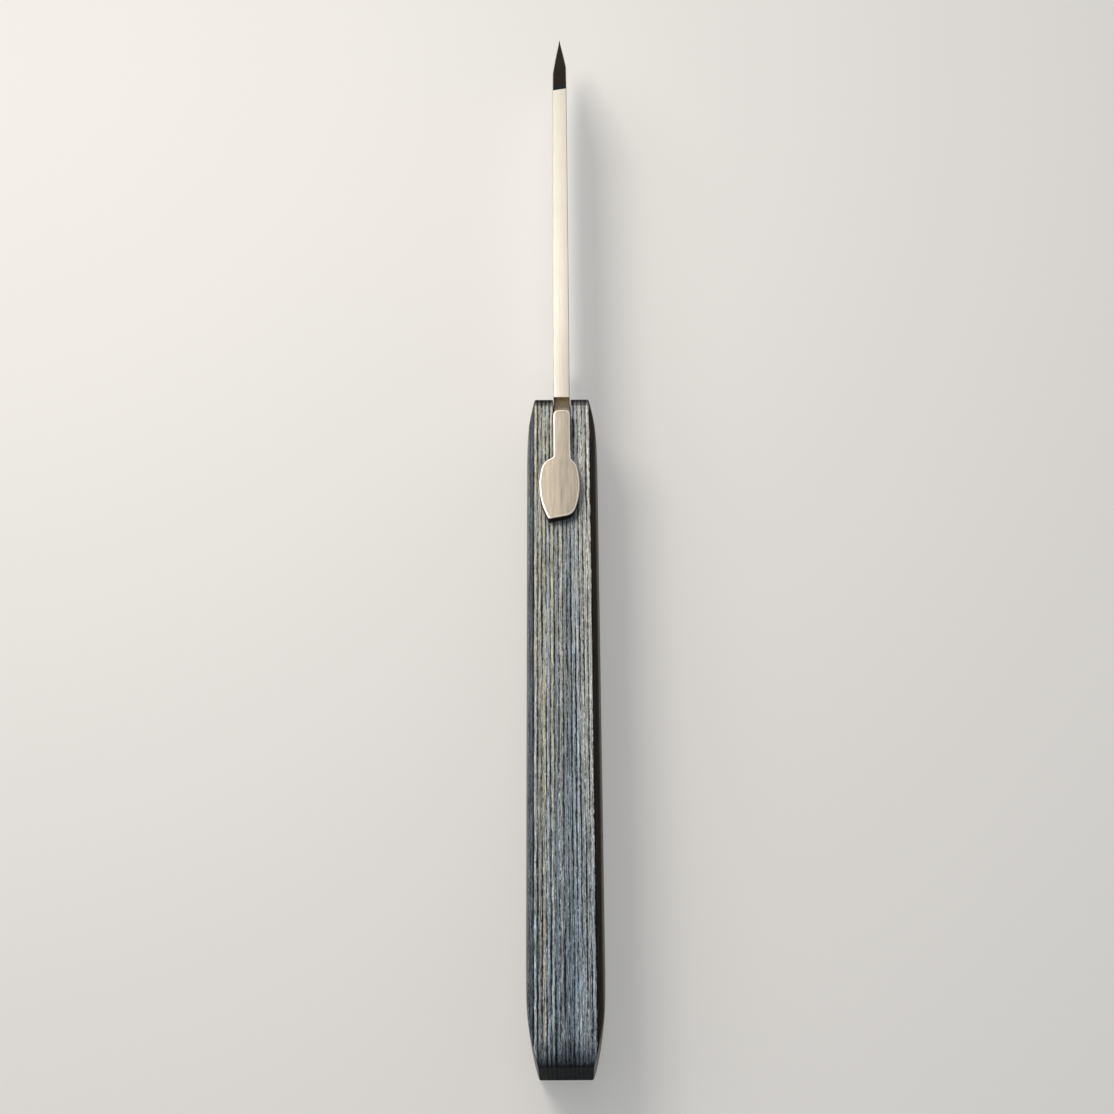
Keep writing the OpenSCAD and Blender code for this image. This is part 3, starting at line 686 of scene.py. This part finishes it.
def leverShell(v):
    # the outline carried up as a wall, over a rim worn to a quarter ellipse and in to a faint ridge
    line = leverOutline(v)
    tangent = np.roll(line, -1, 0) - np.roll(line, 1, 0)
    tangent /= np.linalg.norm(tangent, axis=1)[:, None]
    inward = np.stack([-tangent[:, 1], tangent[:, 0]], -1)
    ease = np.clip((v["shoulder"] + 0.6 - line[:, 0]) / 2.5, 0, 1)
    centre = np.stack([np.clip(line[:, 0], v["rear"] + 1.2, v["front"] - 0.7),
                       v["shift"] * (3 * ease ** 2 - 2 * ease ** 3)], -1)
    if np.einsum("ij,ij->", inward, centre - line) < 0:
        inward = -inward

    def ring(p, z):
        return np.column_stack([p, np.broadcast_to(z, len(p))])

    def topAt(p):
        # the top falls away from a faint ridge down the middle
        off = np.abs(p[:, 1] - centre[:, 1]) / v["halfWidth"]
        return v["high"] - v["crown"] * off ** 1.3

    inner = line + inward * v["rim"]
    rimTop = topAt(inner)
    under = line + inward * v["inset"] - centre
    rings = [ring(centre + under * (0.02 + 0.98 * q), v["low"]) for q in (0.0, 0.5, 1.0)]
    rings += [ring(line, v["low"] + v["inset"]), ring(line, (v["low"] + rimTop) / 2)]
    for a in np.radians(np.linspace(0, 90, v["rimRows"])):
        rings.append(ring(line + inward * v["rim"] * (1 - math.cos(a)),
                          rimTop - v["rimDrop"] * (1 - math.sin(a))))
    for q in np.linspace(0, 1, v["topRows"])[1:]:
        p = inner + (centre - inner) * min(q, 0.985)
        rings.append(ring(p, topAt(p)))
    return np.stack(rings)


satin, drop, notch, bevel, leverTop, leverRim, leverSkinShadow = range(7)   # places in bladeMats


def bladeZones(c, n):
    # by a face's centre and normal
    zone = np.full(len(c), satin)
    level = np.abs(n[:, 1])
    zone[(n[:, 0] > 0.3) & (n[:, 2] > 0.5) & (level < 0.32)] = drop
    inNotch = (c[:, 0] > blade["neckFront"] - 0.1) & (c[:, 0] < 1.2) & (c[:, 2] > 16.5) & (c[:, 2] < 19.25)
    zone[inNotch & (level < 0.7)] = notch
    halfSlope = -0.066   # half of a bevel's slope, so its line stays clean
    zone[(level > 0.7) & (n[:, 2] < halfSlope) & (c[:, 0] > blade["plungeAt"])] = bevel
    return zone


def leverZones(c, n):
    # top drawn darker as painted shade, rim drawn bright as a painted highlight, and forge skin, darkened as
    # painted shadow, on the walls and below
    return np.select([n[:, 2] > 0.985, n[:, 2] > 0.15], [leverTop, leverRim], leverSkinShadow)


breakX = blade["breakAt"] + pivotAhead
# painted shade: the drop face is drawn near black, standing in for the dark it reflects; the blue near the
# break is heat tint
dropDarkSteel = brushedSteel("carbon_steel_stoned_painted_dark", "#281e19", 0.34, 0.46, 0.2, 4.0,
                         contrast=0.35, graze=0.72,
                         secondTint=dict(colour=blade["blue"], full=breakX + blade["blueFull"],
                                    gone=breakX + blade["blueGone"], skew=blade["breakSkew"]))
bladeMats = (satinSteel, dropDarkSteel, filedSteel, groundSteel, leverDimSteel, rimHighlightSteel, skinShadowSteel)
bladePiece = shellMesh("blade_forged", [bladeBody(blade)], bladeZones, bladeMats)
drill(bladePiece, [(0, -3.0, 3.0, blade["pivotZ"], blade["bore"])])
addShell(bladePiece, shellMesh("lever", [leverShell(lever)], leverZones, bladeMats))
softShade(bladePiece, 26)
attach(bladePiece, "blade")
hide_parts("blade")
print("knife: blade", len(bladePiece.data.polygons))

# the other nodes keep their CAD shapes and get their materials
for name, mat in (("spine_spacer", laminateMat), ("pivot_pin", pinSteel),
                  ("washer_left", washerBronze), ("washer_right", washerBronze),
                  ("handle_pin_front", pinSteel), ("handle_pin_middle", pinSteel),
                  ("handle_pin_rear", pinSteel)):
    nodes[name].data.materials.clear()
    nodes[name].data.materials.append(mat)

# camera, as fitted to the photograph: behind and above the butt, looking towards the tip
view = dict(place=(-139.4, -1.2, 291.55), yaw=1.0, tilt=24.18, roll=-1.4, lens=58.17)   # mm and degrees
yaw, tilt, roll = (math.radians(view[k]) for k in ("yaw", "tilt", "roll"))
ahead = np.array([math.sin(tilt) * math.cos(yaw), math.sin(tilt) * math.sin(yaw), -math.cos(tilt)])
upright = np.array([math.cos(tilt) * math.cos(yaw), math.cos(tilt) * math.sin(yaw), math.sin(tilt)])
across = np.cross(ahead, upright)
right = math.cos(roll) * across + math.sin(roll) * upright
up = -math.sin(roll) * across + math.cos(roll) * upright
camData = bpy.data.cameras.new("photo_view")
camData.lens, camData.sensor_width, camData.clip_start = view["lens"], 36, 0.01
cam = bpy.data.objects.new("photo_view", camData)
pose = np.eye(4)
pose[:3, 0], pose[:3, 1], pose[:3, 2], pose[:3, 3] = right, up, -ahead, np.array(view["place"]) * mm
cam.matrix_world = Matrix(pose.tolist())
bpy.context.scene.collection.objects.link(cam)
bpy.context.scene.camera = cam

# pale table and studio
studio = dict(table="#efeeec", air="#ebeff4", fill=0.25, sky=0.6,
              tableBounce=0.25, tableShare=0.62, glow=0.34, tableHalf=2)


def directRays(add):
    # 1 for what the camera sees, itself or in metal or glass, and 0 for light that bounces on
    path = add("LightPath", out=None).outputs
    seen = path["Is Camera Ray"]
    for kind in ("Is Glossy Ray", "Is Transmission Ray"):
        seen = add("Math", (seen, path[kind]), operation="MAXIMUM")
    return seen


def paleTable(s):
    # matt card: pale to the eye, to metal and to glass, darker to the light that it throws back
    m, add = newMaterial("table_matt_card")
    seen = directRays(add)
    pale = linear(s["table"])[:3]
    thrown, shown = ((*(c * s[key] for c in pale), 1) for key in ("tableBounce", "tableShare"))
    colour = add("Mix", {0: seen, 6: thrown, 7: shown}, **tones)
    glow = add("Math", (seen, s["glow"]), operation="MULTIPLY")
    shader = add("BsdfPrincipled", {"Base Color": colour, "Roughness": 0.9, "Emission Color": s["table"],
                                    "Emission Strength": glow})
    add("OutputMaterial", {"Surface": shader}, out=None)
    return m


tableMesh = bpy.data.meshes.new("table")
e = studio["tableHalf"]
tableMesh.from_pydata([(-e, -e, 0), (e, -e, 0), (e, e, 0), (-e, e, 0)], [], [(0, 1, 2, 3)])
tableMesh.materials.append(paleTable(studio))
table = bpy.data.objects.new("table", tableMesh)
bpy.context.scene.collection.objects.link(table)

world = bpy.data.worlds.new("studio_air")
world.use_nodes = True
world.node_tree.nodes.clear()
add = partial(addNode, world.node_tree)
strength = add("MapRange", {"Value": directRays(add), "To Min": studio["fill"], "To Max": studio["sky"]})
sky = add("Background", {"Color": studio["air"], "Strength": strength})
add("OutputWorld", {"Surface": sky}, out=None)
bpy.context.scene.world = world


def softbox(name, place, aim, size, watts, colour):
    # a lamp at place that faces aim, with its width along the table
    data = bpy.data.lights.new(name, "AREA")
    data.shape, data.energy, data.color = "RECTANGLE", watts, linear(colour)[:3]
    data.size, data.size_y = size
    lamp = bpy.data.objects.new(name, data)
    z = np.array(place, float) - np.array(aim, float)
    z /= np.linalg.norm(z)
    x = np.cross([0, 1, 0], z)
    x /= np.linalg.norm(x)
    m = np.eye(4)
    m[:3, 0], m[:3, 1], m[:3, 2], m[:3, 3] = x, np.cross(z, x), z, place
    lamp.matrix_world = Matrix(m.tolist())
    lamp.visible_camera = False
    bpy.context.scene.collection.objects.link(lamp)


softbox("key_ahead", (0.4, 0.06, 0.52), (0.02, 0, 0.01), (0.42, 0.36), 0.77, "#fff9f0")
softbox("key_left", (0.11, 0.13, 0.28), (0.0, 0, 0.01), (0.12, 0.12), 0.56, "#fff6ea")
softbox("strip_left", (0.12, 0.36, 0.34), (0.0, 0, 0.01), (0.5, 0.2), 0.42, "#fff9f2")
bpy.context.scene.view_settings.view_transform = "Standard"
print("knife: camera, table and lamps set")
